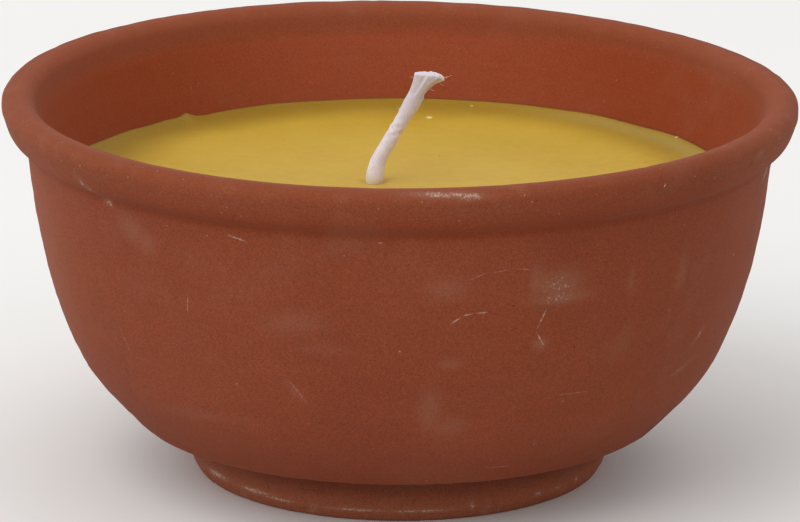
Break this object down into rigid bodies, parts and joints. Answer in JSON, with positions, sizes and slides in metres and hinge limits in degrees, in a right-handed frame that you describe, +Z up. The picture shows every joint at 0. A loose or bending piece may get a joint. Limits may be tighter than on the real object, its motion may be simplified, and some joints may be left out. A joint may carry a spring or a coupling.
{
  "type": "diya bowl candle",
  "caption": "Footed terracotta bowl with a rolled rim, filled with yellow wax round a cotton wick that leans and can be bent either way.",
  "frame": {"origin": "centre of the face that the foot ring stands on", "axes": "+Z up the bowl's axis, +X the way the wick leans, +Y to the back"},
  "size_m": [0.14, 0.14, 0.0709],
  "materials": {
    "terracotta": "matt unglazed fired clay with dusty scuffs",
    "wax": "soft satin poured wax, slightly translucent",
    "cotton": "braided cotton with a thin coat of wax",
    "tinplate": "stamped tinned sheet",
    "glue": "soft hot-melt glue"
  },
  "bodies": {
    "candle": {"bowl": "terracotta", "wax_fill": "wax", "wick_buried": "cotton", "wick_sustainer": "tinplate", "adhesive_dot": "glue"},
    "wick_tip": {"wick_exposed": "cotton"}
  },
  "joints": [
    {"name": "wick_lean", "type": "hinge", "parent": "candle", "child": "wick_tip", "pos_m": [-0.0045, 0.002, 0.0509], "axis": [0, 1, 0], "range_deg": [-60, 20]}
  ]
}
